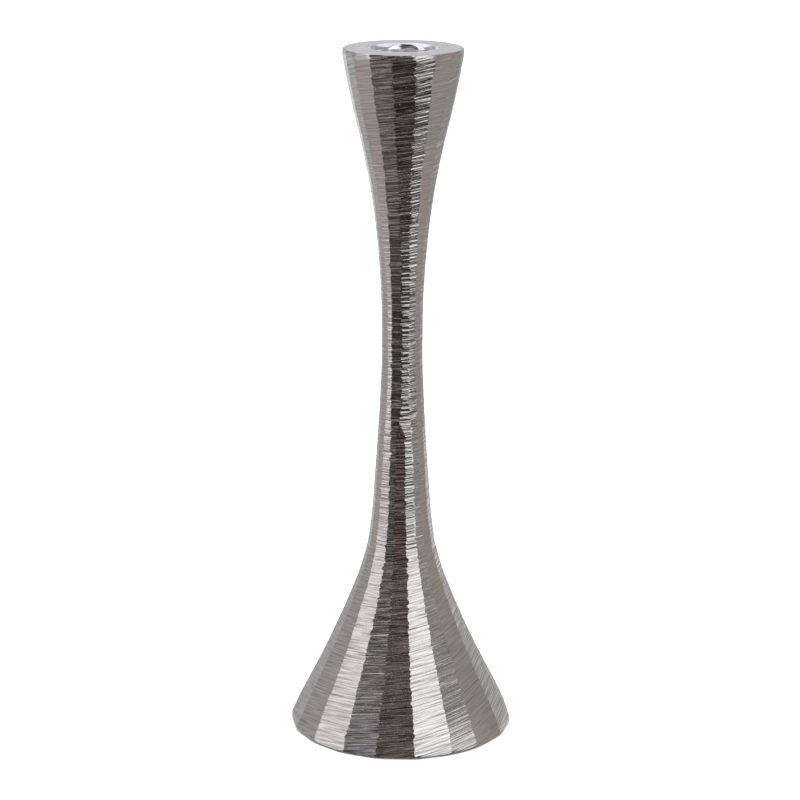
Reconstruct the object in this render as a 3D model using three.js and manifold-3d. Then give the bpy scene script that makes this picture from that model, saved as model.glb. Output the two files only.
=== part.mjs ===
// Silver taper candlestick: a tall flared column, ground all round into narrow
// flat facets, on a wide weighted trumpet foot. Millimetres, +Z up, origin at the
// centre of the face it stands on. -Y is the front.
//
// It comes apart on a bench like this: pull the rubber sole and the backing disc out of the
// foot, undo the nut, and the tie rod lets go of the ballast, the foot casting, the
// stem casting and the turned candle cup that is screwed on the rod's upper end.

import * as THREE from 'three';
import { mergeVertices } from 'three/addons/utils/BufferGeometryUtils.js';
import Module from 'manifold-3d';

const wasm = await Module();
wasm.setup();

// ---------------------------------------------------------------- dimensions
const HEIGHT = 260;              // standing surface to the top ring
const GAP = 0.3;                 // clearance between touching pieces
const RIM_Z = 0.5;               // the foot's metal rim, just above the sole's underside
const JOINT_Z = 118.2;           // foot casting meets stem casting
const SPIGOT_R = 5.5;            // spigot on the foot casting
const SPIGOT_TOP = 122.0;

const ROD_R = 3.0;               // M6 tie rod
const ROD_ROOT_R = 2.6;
const ROD_PITCH = 1.0;
const ROD_BOTTOM = 3.6;
const ROD_TOP = 236.2;
const CLEAR_R = 3.3;             // hole for the rod

const CUP_BORE_R = 11.0;         // takes a 22 mm candle end
const CUP_R = 12.6;
const CUP_TOP = 259.95;
const CUP_FLOOR = 237.0;
const CUP_BASE = 234.0;
const CUP_BOSS_R = 6.0;
const CUP_BOSS_BOTTOM = 226.3;
const CUP_CHAMFER = 1.4;

const SOLE_R = 37.0;             // rubber sole
const SOLE_T = 1.6;
const DISC_R = 37.2;             // board disc the sole is glued to
const DISC_Z0 = 1.9;
const DISC_T = 0.8;
const RECESS_R = 37.6;           // turned recess for sole and disc
const LEDGE_Z = 3.0;

const POCKET_R0 = 33.0;          // tapered pocket for the ballast
const POCKET_R1 = 27.3;
const POCKET_TOP = 20.0;
const POCKET_DRAFT = (POCKET_R0 - POCKET_R1) / (POCKET_TOP - LEDGE_Z);   // taper per mm
const COUNTERBORE_R = 10.0;      // nut and washers sit up inside the ballast
const COUNTERBORE_TOP = 13.3;

const NUT_AF = 10.0;
const NUT_Z0 = 4.2;
const NUT_H = 5.0;
const LOCK_Z0 = 9.5;
const LOCK_T = 1.6;
const LOCK_R = 5.9;
const LOCK_SLIT = 1.2;
const WASHER_Z0 = 11.4;
const WASHER_T = 1.6;
const WASHER_R = 8.0;

// Radius of the facet corners against height, both as fractions of HEIGHT.
const PROFILE_Z = [0, 0.01, 0.025, 0.05, 0.08, 0.12, 0.16, 0.20, 0.24, 0.28, 0.33, 0.38, 0.44,
  0.50, 0.56, 0.62, 0.68, 0.74, 0.80, 0.86, 0.92, 0.97, 0.994, 1.0];
const PROFILE_R = [0.16244, 0.16014, 0.15406, 0.14231, 0.12712, 0.10781, 0.08996, 0.07348,
  0.05893, 0.04881, 0.04268, 0.03901, 0.03497, 0.03147, 0.02941, 0.02963, 0.03229, 0.0374,
  0.0455, 0.05703, 0.0711, 0.08107, 0.08451, 0.08385];
const CORNER_SCALE = 1.005;      // corners stand a little outside the mean outline
const END_FLARE = 0.008;         // and a little further out close to the two turned rims
const END_FLARE_Z = 6.0;
const RIM_R = 42.3;              // the foot's rim is turned round, clipping the corners
const RING_R = 21.85;            // so is the top ring

// Facet corners, in degrees round from the front (-Y), towards +X. The facets were
// ground by hand, so they differ in width and wander with height. The foot and the
// stem were ground separately, so their facets don't line up at the joint.
const FOOT_LEVELS = [0, 0.14, 0.25, 0.32, 0.42];
const FOOT_CORNERS = [
  [-70, -70, -69, -69, -66], [-51, -50, -49.5, -49, -47], [-31, -30, -28, -27, -27.5],
  [-13, -12, -12, -14, -14], [7, 7, 8.3, 8, 7.5], [27, 27, 28, 25.5, 24.5],
  [42.5, 43, 43, 42, 41], [64, 64, 64, 60.5, 60], [83.5, 83.5, 83, 81.5, 80.5],
  [105, 104.5, 103, 102.5, 101.5], [123.5, 124, 124, 122.5, 121], [144.5, 144, 143, 142, 142.5],
  [166, 165.5, 165, 164.5, 163], [184.5, 185, 186, 186.5, 185], [206, 206, 205, 204, 205],
  [227.5, 227, 226, 226.5, 227], [246, 246.5, 247.5, 248, 249], [268.5, 268.5, 269.5, 270, 271.5],
];
const STEM_LEVELS = [0.45, 0.50, 0.64, 0.71, 0.86, 1.0];
const STEM_CORNERS = [
  [-65, -65, -66, -67, -68, -69], [-44, -43, -43.5, -49, -52.5, -54],
  [-30, -30, -31, -31, -30.5, -33], [-3, -3, -2.5, -3.5, -9, -10.5],
  [20, 20, 19.5, 17, 13, 11.5], [39.5, 38.5, 38, 35, 31, 30], [58, 58, 57, 55, 52, 51],
  [77, 77, 76, 75, 73, 72], [96, 96, 95.5, 95, 93.5, 92.5], [115, 115, 114.5, 113.5, 112, 111],
  [134.5, 134, 134, 133.5, 132.5, 132], [153, 153, 153, 152.5, 152, 151.5],
  [173, 173, 172.5, 172, 171.5, 171], [192, 192, 192, 192, 192, 192],
  [210, 210, 210, 210.5, 211, 211], [230, 230, 230.5, 231, 232, 232],
  [251, 251, 251, 251, 251, 251], [273, 273, 272.5, 272, 271.5, 271.5],
];

// ---------------------------------------------------------------- curve helpers
function lerpTable(xs, ys, x) {
  if (x <= xs[0]) return ys[0];
  for (let i = 1; i < xs.length; i++) {
    if (x <= xs[i]) return ys[i - 1] + (ys[i] - ys[i - 1]) * (x - xs[i - 1]) / (xs[i] - xs[i - 1]);
  }
  return ys[ys.length - 1];
}

// Monotone cubic through the profile points, so the outline has no waves of its own.
const slopes = (() => {
  const n = PROFILE_Z.length, h = [], d = [], m = new Array(n).fill(0);
  for (let i = 0; i < n - 1; i++) {
    h.push(PROFILE_Z[i + 1] - PROFILE_Z[i]);
    d.push((PROFILE_R[i + 1] - PROFILE_R[i]) / h[i]);
  }
  for (let i = 1; i < n - 1; i++) {
    if (d[i - 1] * d[i] > 0) {
      const w1 = 2 * h[i] + h[i - 1], w2 = h[i] + 2 * h[i - 1];
      m[i] = (w1 + w2) / (w1 / d[i - 1] + w2 / d[i]);
    }
  }
  m[0] = d[0];
  m[n - 1] = d[n - 2];
  return m;
})();

function cornerRadius(zMm) {
  const z = Math.min(Math.max(zMm / HEIGHT, 0), 1);
  let i = 0;
  while (i < PROFILE_Z.length - 2 && z > PROFILE_Z[i + 1]) i++;
  const h = PROFILE_Z[i + 1] - PROFILE_Z[i], t = (z - PROFILE_Z[i]) / h;
  const a = PROFILE_R[i], b = PROFILE_R[i + 1], ma = slopes[i] * h, mb = slopes[i + 1] * h;
  const r = a * (1 + 2 * t) * (1 - t) ** 2 + ma * t * (1 - t) ** 2
    + b * t * t * (3 - 2 * t) + mb * t * t * (t - 1);
  const end = Math.min(zMm, HEIGHT - zMm);
  const flare = END_FLARE * Math.max(0, 1 - end / END_FLARE_Z) ** 2;
  return r * HEIGHT * (CORNER_SCALE + flare);
}

// ---------------------------------------------------------------- solid helpers
// Merges shared vertices, drops the slivers that collapse on the axis, and turns the
// faces outward.
function weld(geometry) {
  const g = geometry.clone();
  g.deleteAttribute('normal');
  g.deleteAttribute('uv');
  const m = mergeVertices(g, 1e-4);
  const p = m.getAttribute('position').array, ix = Array.from(m.getIndex().array), out = [];
  let volume = 0;
  for (let i = 0; i < ix.length; i += 3) {
    const [a, b, c] = [ix[i], ix[i + 1], ix[i + 2]];
    if (a === b || b === c || c === a) continue;
    out.push(a, b, c);
    const A = new THREE.Vector3(p[3 * a], p[3 * a + 1], p[3 * a + 2]);
    const B = new THREE.Vector3(p[3 * b], p[3 * b + 1], p[3 * b + 2]);
    const C = new THREE.Vector3(p[3 * c], p[3 * c + 1], p[3 * c + 2]);
    volume += A.dot(B.cross(C)) / 6;
  }
  if (volume < 0) for (let i = 0; i < out.length; i += 3) [out[i], out[i + 1]] = [out[i + 1], out[i]];
  const r = new THREE.BufferGeometry();
  r.setAttribute('position', new THREE.BufferAttribute(new Float32Array(p), 3));
  r.setIndex(out);
  return r;
}

function toSolid(geometry) {
  const g = weld(geometry);
  return new wasm.Manifold(new wasm.Mesh({
    numProp: 3,
    vertProperties: new Float32Array(g.getAttribute('position').array),
    triVerts: new Uint32Array(g.getIndex().array),
  }));
}

function toGeometry(solid) {
  const m = solid.getMesh();
  const g = new THREE.BufferGeometry();
  const n = m.vertProperties.length / m.numProp, p = new Float32Array(n * 3);
  for (let i = 0; i < n; i++) for (let k = 0; k < 3; k++) p[3 * i + k] = m.vertProperties[i * m.numProp + k];
  g.setAttribute('position', new THREE.BufferAttribute(p, 3));
  g.setIndex(Array.from(m.triVerts));
  return g;
}

// A turned piece about Z from [radius, z] points.
function turned(points, segments) {
  const g = new THREE.LatheGeometry(points.map(([r, z]) => new THREE.Vector2(r, z)), segments);
  g.rotateX(Math.PI / 2);
  return weld(g);
}

function plug(r0, z0, r1, z1, segments = 48) {
  return toSolid(turned([[0, z0], [r0, z0], [r1, z1], [0, z1]], segments));
}

// A turned blank with one segment for each facet, its corners then moved round to
// where that facet's corners really are at each height.
function facetedBlank(rings, corners, levels) {
  const n = corners.length;
  const profile = [[0, rings[0][1]], ...rings, [0, rings[rings.length - 1][1]]];
  const g = new THREE.LatheGeometry(profile.map(([r, z]) => new THREE.Vector2(r, z)), n);
  const pos = g.getAttribute('position');
  for (let i = 0; i <= n; i++) {
    for (let j = 0; j < profile.length; j++) {
      const [r, z] = profile[j];
      const a = THREE.MathUtils.degToRad(lerpTable(levels, corners[i % n], z / HEIGHT));
      pos.setXYZ(i * profile.length + j, r * Math.sin(a), -r * Math.cos(a), z);
    }
  }
  return weld(g);
}

function spread(z0, z1, step) {
  const n = Math.max(1, Math.round((z1 - z0) / step)), out = [];
  for (let i = 0; i <= n; i++) out.push(z0 + (z1 - z0) * i / n);
  return out;
}

// ---------------------------------------------------------------- foot casting
const footRings = [
  ...spread(RIM_Z, RIM_Z + 6, 2).slice(0, -1).map((z) => [cornerRadius(z), z]),
  ...spread(RIM_Z + 6, JOINT_Z - GAP / 2, 5.1).map((z) => [cornerRadius(z), z]),
];
const footTurning = toSolid(turned([
  [0, RIM_Z], [RIM_R - 0.45, RIM_Z], [RIM_R - 0.12, RIM_Z + 0.2], [RIM_R, RIM_Z + 0.6],
  [RIM_R, RIM_Z + 2.5], [RIM_R, JOINT_Z], [0, JOINT_Z],
], 90));
const footGeometry = toGeometry(
  toSolid(facetedBlank(footRings, FOOT_CORNERS, FOOT_LEVELS))
    .intersect(footTurning)
    .add(plug(SPIGOT_R, JOINT_Z - 8, SPIGOT_R, SPIGOT_TOP))
    .subtract(plug(RECESS_R, RIM_Z - 5, RECESS_R, LEDGE_Z, 72))
    .subtract(plug(POCKET_R0 + POCKET_DRAFT, LEDGE_Z - 1, POCKET_R1, POCKET_TOP, 60))
    .subtract(plug(CLEAR_R, POCKET_TOP - 1, CLEAR_R, SPIGOT_TOP + 2, 32)),
);

// ---------------------------------------------------------------- stem casting
const stemRings = [
  ...spread(JOINT_Z + GAP / 2, HEIGHT - 6, 5.2).map((z) => [cornerRadius(z), z]),
  ...spread(HEIGHT - 6, HEIGHT - 1.5, 1.5).slice(1).map((z) => [cornerRadius(z), z]),
  [cornerRadius(HEIGHT), HEIGHT],
];
const stemTurning = toSolid(turned([
  [0, JOINT_Z - 1], [RING_R + 3, JOINT_Z - 1], [RING_R + 3, HEIGHT - 3], [RING_R + 0.22, HEIGHT - 1.3],
  [RING_R + 0.1, HEIGHT - 0.35], [RING_R - 0.12, HEIGHT], [0, HEIGHT],
], 90));
const stemGeometry = toGeometry(
  toSolid(facetedBlank(stemRings, STEM_CORNERS, STEM_LEVELS))
    .intersect(stemTurning)
    .subtract(plug(CUP_R + GAP, CUP_BASE - GAP, CUP_R + GAP, HEIGHT + 2, 64))
    .subtract(plug(CUP_BOSS_R + GAP, CUP_BOSS_BOTTOM - GAP, CUP_BOSS_R + GAP, CUP_BASE, 48))
    .subtract(plug(CLEAR_R, JOINT_Z - 2, CLEAR_R, CUP_BOSS_BOTTOM, 32))
    .subtract(plug(SPIGOT_R + GAP, JOINT_Z - 2, SPIGOT_R + GAP, SPIGOT_TOP + GAP, 48)),
);

// ---------------------------------------------------------------- candle cup
const cupGeometry = turned([
  [CLEAR_R, CUP_BOSS_BOTTOM], [CUP_BOSS_R - 0.4, CUP_BOSS_BOTTOM], [CUP_BOSS_R, CUP_BOSS_BOTTOM + 0.4],
  [CUP_BOSS_R, CUP_BASE], [CUP_R - 0.4, CUP_BASE], [CUP_R, CUP_BASE + 0.4],
  [CUP_R, CUP_TOP - 0.1], [CUP_R - 0.1, CUP_TOP], [CUP_BORE_R, CUP_TOP - CUP_CHAMFER],
  [CUP_BORE_R, CUP_FLOOR + 0.8], [CUP_BORE_R - 0.8, CUP_FLOOR], [CLEAR_R, CUP_FLOOR],
  [CLEAR_R, CUP_BOSS_BOTTOM],
], 64);

// ---------------------------------------------------------------- tie rod
// Threaded at both ends; the thread is a row of crests and roots round the shank.
const rodProfile = [[0, ROD_BOTTOM], [ROD_ROOT_R - 0.3, ROD_BOTTOM]];
function threadRun(z0, z1) {
  for (let z = z0; z < z1 - 1e-6; z += ROD_PITCH) {
    rodProfile.push([ROD_ROOT_R, z + 0.1], [ROD_R, z + ROD_PITCH * 0.5], [ROD_R, z + ROD_PITCH * 0.6]);
  }
}
threadRun(ROD_BOTTOM + 0.3, ROD_BOTTOM + 13.3);
rodProfile.push([ROD_ROOT_R + 0.1, ROD_BOTTOM + 14.2], [ROD_ROOT_R + 0.1, ROD_TOP - 12.2]);
threadRun(ROD_TOP - 11.3, ROD_TOP - 0.3);
rodProfile.push([ROD_ROOT_R - 0.2, ROD_TOP], [0, ROD_TOP]);
const rodGeometry = turned(rodProfile, 16);

// ---------------------------------------------------------------- weight and fasteners
const ballastGeometry = turned([
  [COUNTERBORE_R, LEDGE_Z + 0.6], [POCKET_R0 - GAP - 0.7, LEDGE_Z + 0.6], [POCKET_R0 - GAP - 0.35, LEDGE_Z + 1.2],
  [POCKET_R1 - GAP + 0.25, POCKET_TOP - GAP - 0.9], [POCKET_R1 - GAP - 0.6, POCKET_TOP - GAP],
  [CLEAR_R, POCKET_TOP - GAP], [CLEAR_R, COUNTERBORE_TOP], [COUNTERBORE_R, COUNTERBORE_TOP],
  [COUNTERBORE_R, LEDGE_Z + 0.6],
], 56);

const washerGeometry = turned([
  [CLEAR_R, WASHER_Z0], [WASHER_R - 0.2, WASHER_Z0], [WASHER_R, WASHER_Z0 + 0.2],
  [WASHER_R, WASHER_Z0 + WASHER_T - 0.2], [WASHER_R - 0.2, WASHER_Z0 + WASHER_T],
  [CLEAR_R, WASHER_Z0 + WASHER_T], [CLEAR_R, WASHER_Z0],
], 40);

// Split lock washer: a ring sawn through at one place.
const lockShape = new THREE.Shape();
{
  const slitOut = Math.asin(LOCK_SLIT / 2 / LOCK_R), slitIn = Math.asin(LOCK_SLIT / 2 / CLEAR_R);
  lockShape.absarc(0, 0, LOCK_R, slitOut, Math.PI * 2 - slitOut, false);
  lockShape.absarc(0, 0, CLEAR_R, Math.PI * 2 - slitIn, slitIn, true);
  lockShape.closePath();
}
const lockGeometry = weld(new THREE.ExtrudeGeometry(lockShape, {
  depth: LOCK_T, bevelEnabled: false, curveSegments: 20,
}).translate(0, 0, LOCK_Z0));

// Hexagon nut with its corners turned off at both faces.
const hexShape = new THREE.Shape();
for (let i = 0; i < 6; i++) {
  const a = Math.PI / 6 + i * Math.PI / 3, r = NUT_AF / 2 / Math.cos(Math.PI / 6);
  if (i === 0) hexShape.moveTo(r * Math.cos(a), r * Math.sin(a));
  else hexShape.lineTo(r * Math.cos(a), r * Math.sin(a));
}
hexShape.closePath();
const hexBlank = new THREE.ExtrudeGeometry(hexShape, { depth: NUT_H, bevelEnabled: false })
  .translate(0, 0, NUT_Z0);
const nutGeometry = toGeometry(
  toSolid(hexBlank)
    .intersect(toSolid(turned([
      [0, NUT_Z0], [NUT_AF / 2 - 0.1, NUT_Z0], [NUT_AF / 2 + 0.8, NUT_Z0 + 0.5],
      [NUT_AF / 2 + 0.8, NUT_Z0 + NUT_H - 0.5], [NUT_AF / 2 - 0.1, NUT_Z0 + NUT_H], [0, NUT_Z0 + NUT_H],
    ], 36)))
    .subtract(plug(CLEAR_R, NUT_Z0 - 1, CLEAR_R, NUT_Z0 + NUT_H + 1, 32)),
);

// ---------------------------------------------------------------- underside
const discGeometry = turned([
  [0, DISC_Z0], [DISC_R, DISC_Z0], [DISC_R, DISC_Z0 + DISC_T], [0, DISC_Z0 + DISC_T],
], 60);
const soleGeometry = turned([
  [0, 0], [SOLE_R - 0.35, 0], [SOLE_R, 0.35], [SOLE_R, SOLE_T], [0, SOLE_T],
], 60);

// ---------------------------------------------------------------- scene graph
const finish = {
  cast: { color: 0xa8a29c, roughness: 0.32, metalness: 1.0 },
  cup: { color: 0xc9c9cc, roughness: 0.12, metalness: 1.0 },
  steel: { color: 0x9a9ca0, roughness: 0.35, metalness: 1.0 },
  iron: { color: 0x3b3a39, roughness: 0.75, metalness: 0.6 },
  board: { color: 0x8d8273, roughness: 0.9, metalness: 0.0 },
  rubber: { color: 0x1d1d1f, roughness: 0.85, metalness: 0.0 },
};

function piece(name, geometry, look) {
  const g = geometry.index ? geometry.toNonIndexed() : geometry;
  g.computeVertexNormals();
  const mesh = new THREE.Mesh(g, new THREE.MeshStandardMaterial({ name, ...finish[look] }));
  mesh.name = name;
  return mesh;
}

const candlestick = new THREE.Group();
candlestick.name = 'candlestick';

const column = new THREE.Group();
column.name = 'column';
column.add(
  piece('stem_casting', stemGeometry, 'cast'),
  piece('candle_cup', cupGeometry, 'cup'),
  piece('tie_rod', rodGeometry, 'steel'),
);

const foot = new THREE.Group();
foot.name = 'foot';
foot.add(
  piece('foot_casting', footGeometry, 'cast'),
  piece('ballast_weight', ballastGeometry, 'iron'),
  piece('flat_washer', washerGeometry, 'steel'),
  piece('lock_washer', lockGeometry, 'steel'),
  piece('tie_rod_nut', nutGeometry, 'steel'),
  piece('backing_disc', discGeometry, 'board'),
  piece('rubber_sole', soleGeometry, 'rubber'),
);

candlestick.add(column, foot);

export default candlestick;
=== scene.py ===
"""Looks of the silver taper candlestick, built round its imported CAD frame.

Lengths below are in millimetres until a mesh is made, and then in metres. Angles go
round the column from the front (-Y) towards +X.
"""
import math

import bpy
import numpy as np
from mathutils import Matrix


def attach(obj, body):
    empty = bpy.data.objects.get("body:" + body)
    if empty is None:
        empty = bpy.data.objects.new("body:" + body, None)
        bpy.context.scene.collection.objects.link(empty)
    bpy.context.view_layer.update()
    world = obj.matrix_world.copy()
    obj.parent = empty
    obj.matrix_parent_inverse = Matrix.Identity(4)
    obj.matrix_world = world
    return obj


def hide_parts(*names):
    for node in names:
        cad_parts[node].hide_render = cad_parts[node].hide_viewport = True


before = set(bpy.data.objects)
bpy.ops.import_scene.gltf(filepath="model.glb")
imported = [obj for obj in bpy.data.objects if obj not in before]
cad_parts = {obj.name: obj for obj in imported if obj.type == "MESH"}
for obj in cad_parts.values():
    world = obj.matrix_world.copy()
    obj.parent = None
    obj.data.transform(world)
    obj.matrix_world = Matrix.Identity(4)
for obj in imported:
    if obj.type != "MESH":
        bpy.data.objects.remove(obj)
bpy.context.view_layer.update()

# ------------------------------------------------------------------ camera and view transform
H = 260.0
CAM_DIST, CAM_HEIGHT, CAM_PITCH = 3.53126 * H / 1000, 1.4684 * H / 1000, 15.472
cam_data = bpy.data.cameras.new("camera")
cam_data.sensor_width = 36.0
cam_data.lens = 2536.21 / 800 * 36.0
cam_data.clip_start, cam_data.clip_end = 0.01, 100.0
cam = bpy.data.objects.new("camera", cam_data)
cam.location = (-0.00163, -CAM_DIST, CAM_HEIGHT)
cam.rotation_euler = (math.radians(90 - CAM_PITCH), -0.0034, 0)
bpy.context.scene.collection.objects.link(cam)
bpy.context.scene.camera = cam
bpy.context.scene.view_settings.view_transform = "Standard"


# ------------------------------------------------------------------ small node helpers
class Nodes:
    """Builds a node tree with short calls."""

    def __init__(self, tree):
        self.t = tree
        tree.nodes.clear()

    def add(self, kind, **props):
        n = self.t.nodes.new(kind)
        for k, v in props.items():
            setattr(n, k, v)
        return n

    def put(self, socket, value):
        if hasattr(value, "is_output"):
            self.t.links.new(value, socket)
        elif value is not None:
            socket.default_value = value

    def math(self, op, a, b=None, c=None, clamp=False):
        n = self.add("ShaderNodeMath", operation=op, use_clamp=clamp)
        self.put(n.inputs[0], a)
        self.put(n.inputs[1], b)
        self.put(n.inputs[2], c)
        return n.outputs[0]

    def vec(self, x, y, z=0.0):
        n = self.add("ShaderNodeCombineXYZ")
        for s, v in zip(n.inputs, (x, y, z)):
            self.put(s, v)
        return n.outputs[0]

    def split(self, v):
        n = self.add("ShaderNodeSeparateXYZ")
        self.put(n.inputs[0], v)
        return n.outputs[0], n.outputs[1], n.outputs[2]

    def noise(self, vector, scale, detail=3.0, rough=0.5, distortion=0.0):
        n = self.add("ShaderNodeTexNoise", noise_dimensions="3D")
        self.put(n.inputs["Vector"], vector)
        n.inputs["Scale"].default_value = scale
        n.inputs["Detail"].default_value = detail
        n.inputs["Roughness"].default_value = rough
        n.inputs["Distortion"].default_value = distortion
        return n.outputs[0]

    def ramp(self, fac, stops, interpolation="LINEAR"):
        n = self.add("ShaderNodeValToRGB")
        n.color_ramp.interpolation = interpolation
        e = n.color_ramp.elements
        while len(e) > 1:
            e.remove(e[-1])
        e[0].position, e[0].color = stops[0][0], (*stops[0][1], 1.0)
        for p, c in stops[1:]:
            k = e.new(p)
            k.color = (*c, 1.0)
        self.put(n.inputs[0], fac)
        return n.outputs[0]

    def span(self, value, a, b, lo=0.0, hi=1.0, smooth=True):
        if a > b:
            a, b, lo, hi = b, a, hi, lo
        n = self.add("ShaderNodeMapRange", interpolation_type="SMOOTHSTEP" if smooth else "LINEAR", clamp=True)
        self.put(n.inputs["Value"], value)
        n.inputs["From Min"].default_value = a
        n.inputs["From Max"].default_value = b
        n.inputs["To Min"].default_value = lo
        n.inputs["To Max"].default_value = hi
        return n.outputs["Result"]

    def mix(self, fac, a, b):
        n = self.add("ShaderNodeMix", data_type="RGBA")
        self.put(n.inputs["Factor"], fac)
        self.put(n.inputs[6], a)
        self.put(n.inputs[7], b)
        return n.outputs[2]

    def bump(self, height, distance, normal=None, strength=1.0):
        n = self.add("ShaderNodeBump")
        n.inputs["Strength"].default_value = strength
        n.inputs["Distance"].default_value = distance
        self.put(n.inputs["Height"], height)
        if normal is not None:
            self.put(n.inputs["Normal"], normal)
        return n.outputs[0]


def new_material(name, color):
    m = bpy.data.materials.new(name)
    m.use_nodes = True
    m.diffuse_color = (*color, 1.0)
    return m, Nodes(m.node_tree)


def finish_material(n, metallic, color, roughness, normal):
    b = n.add("ShaderNodeBsdfPrincipled")
    b.inputs["Metallic"].default_value = metallic
    n.put(b.inputs["Base Color"], color)
    n.put(b.inputs["Roughness"], roughness)
    if normal is not None:
        n.put(b.inputs["Normal"], normal)
    out = n.add("ShaderNodeOutputMaterial")
    n.t.links.new(b.outputs[0], out.inputs[0])
    return b


def srgb(r, g, b):
    def f(c):
        c /= 255.0
        return c / 12.92 if c <= 0.04045 else ((c + 0.055) / 1.055) ** 2.4
    return f(r), f(g), f(b)


def object_mm(n):
    """Object coordinates in millimetres, as three values."""
    tc = n.add("ShaderNodeTexCoord")
    s = n.add("ShaderNodeVectorMath", operation="SCALE")
    n.put(s.inputs[0], tc.outputs["Object"])
    s.inputs["Scale"].default_value = 1000.0
    return s.outputs[0], n.split(s.outputs[0])


# ------------------------------------------------------------------ materials
def ground_metal():
    """Hand-ground casting: crosswise scratches over the modelled grooves, rougher in the bottoms, where the colour is
    darkened as painted shade.
    """
    m, n = new_material("ground_casting", (0.62, 0.6, 0.58))
    uvn = n.add("ShaderNodeUVMap", uv_map="cut")
    u, v, _ = n.split(uvn.outputs[0])
    pos, _ = object_mm(n)
    coarse = n.add("ShaderNodeAttribute", attribute_name="coarse").outputs["Fac"]

    def streaks(along, across, shift, detail=0.0):
        return n.noise(n.vec(n.math("MULTIPLY", u, along), n.math("MULTIPLY", v, across), shift), 1.0, detail, 0.5)

    lines = streaks(0.055, 1.15, 7.0)
    mid = streaks(0.075, 2.3, 11.0)
    fine = streaks(0.13, 4.6, 17.0, 1.0)
    broad = streaks(0.05, 0.22, 3.0, 1.0)
    specks = n.span(n.noise(n.vec(n.math("MULTIPLY", u, 1.5), n.math("MULTIPLY", v, 2.4), 5.0), 1.0, 1.0, 0.5), 0.63, 0.73)
    cloud = n.noise(pos, 0.11, 3.0, 0.55)
    height = n.math("ADD", n.math("MULTIPLY", fine, 0.08), n.math("MULTIPLY", lines, 0.55))
    height = n.math("ADD", height, n.math("MULTIPLY", mid, 0.30))
    height = n.math("ADD", n.math("MULTIPLY", height, coarse), n.math("MULTIPLY", specks, 0.06))
    normal = n.bump(height, 0.00030)
    tone = n.mix(n.span(cloud, 0.3, 0.7), (0.72, 0.69, 0.668, 1), (0.695, 0.675, 0.663, 1))
    # painted shade: the colour is darkened along the groove lines and in their bottoms; the same mask also makes the
    # finish rougher there
    groove_shade_and_dull = n.math("MULTIPLY", n.span(lines, 0.60, 0.30), 0.17)
    groove_shade_and_dull = n.math("ADD", groove_shade_and_dull, n.math("MULTIPLY", n.span(mid, 0.60, 0.28), 0.24))
    groove_shade_and_dull = n.math("ADD", groove_shade_and_dull, n.math("MULTIPLY", n.span(fine, 0.57, 0.36), 0.22))
    groove_shade_and_dull = n.math("ADD", groove_shade_and_dull, n.math("MULTIPLY", n.span(broad, 0.35, 0.65), 0.05))
    groove_shade_and_dull = n.math("MULTIPLY", groove_shade_and_dull, n.math("ADD", n.math("MULTIPLY", coarse, 1.1), 0.22))
    # the painted groove shade is mixed into the colour here, more of it on coarser facets
    tone = n.mix(groove_shade_and_dull, tone, (0.13, 0.112, 0.103, 1))
    rough = n.math("ADD", n.span(cloud, 0.3, 0.7, 0.10, 0.14), n.math("MULTIPLY", groove_shade_and_dull, 0.15))
    finish_material(n, 1.0, tone, rough, normal)
    return m


def ring_metal():
    """The top ring: faced off in a lathe and left satin."""
    m, n = new_material("satin_ring", (0.66, 0.66, 0.68))
    pos, (x, y, z) = object_mm(n)
    r = n.math("SQRT", n.math("ADD", n.math("MULTIPLY", x, x), n.math("MULTIPLY", y, y)))
    ang = n.math("ARCTAN2", y, x)
    marks = n.noise(n.vec(n.math("MULTIPLY", r, 5.5), n.math("MULTIPLY", ang, 1.3)), 1.0, 3.0, 0.6)
    cloud = n.noise(pos, 0.22, 3.0, 0.5)
    tone = n.mix(n.span(cloud, 0.3, 0.7), (0.632, 0.605, 0.592, 1), (0.571, 0.548, 0.537, 1))
    rough = n.math("ADD", n.span(cloud, 0.3, 0.7, 0.33, 0.42), n.math("MULTIPLY", marks, 0.08))
    finish_material(n, 1.0, tone, rough, n.bump(marks, 0.00002))
    return m


def polished_metal():
    """The turned cup: bright, with fine feed marks round the bore and dark reflection streaks painted into its colour.
    """
    m, n = new_material("polished_cup", (0.78, 0.78, 0.8))
    pos, (x, y, z) = object_mm(n)
    r = n.math("SQRT", n.math("ADD", n.math("MULTIPLY", x, x), n.math("MULTIPLY", y, y)))
    ang = n.math("ARCTAN2", y, x)
    along = n.math("ADD", n.math("MULTIPLY", r, 4.0), n.math("MULTIPLY", z, 4.0))
    marks = n.noise(n.vec(along, n.math("MULTIPLY", ang, 0.8)), 1.0, 2.0, 0.5)
    # painted reflection: dark streaks round the cup stand in for the studio's reflection in the bore; they also make
    # the finish a little rougher
    reflection_streaks = n.noise(n.vec(n.math("MULTIPLY", ang, 2.2), n.math("MULTIPLY", z, 0.25)), 1.0, 2.0, 0.5)
    tone = n.mix(n.span(reflection_streaks, 0.35, 0.65), (0.80, 0.80, 0.815, 1), (0.70, 0.70, 0.725, 1))
    rough = n.math("ADD", n.math("MULTIPLY", reflection_streaks, 0.08), n.math("MULTIPLY", marks, 0.05))
    rough = n.math("ADD", rough, 0.05)
    finish_material(n, 1.0, tone, rough, n.bump(marks, 0.000012))
    return m


def machined_metal(name, a, b, rough0, rough1, distance=0.00002):
    """Turned or plated steel: fine rings and a mottled finish."""
    m, n = new_material(name, a)
    pos, (x, y, z) = object_mm(n)
    r = n.math("SQRT", n.math("ADD", n.math("MULTIPLY", x, x), n.math("MULTIPLY", y, y)))
    marks = n.noise(n.vec(n.math("MULTIPLY", r, 6.0), n.math("MULTIPLY", z, 6.0)), 1.0, 3.0, 0.6)
    cloud = n.noise(pos, 0.6, 4.0, 0.6)
    tone = n.mix(n.span(cloud, 0.3, 0.7), (*a, 1), (*b, 1))
    rough = n.span(cloud, 0.3, 0.7, rough0, rough1)
    finish_material(n, 1.0, tone, rough, n.bump(marks, distance))
    return m


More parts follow.
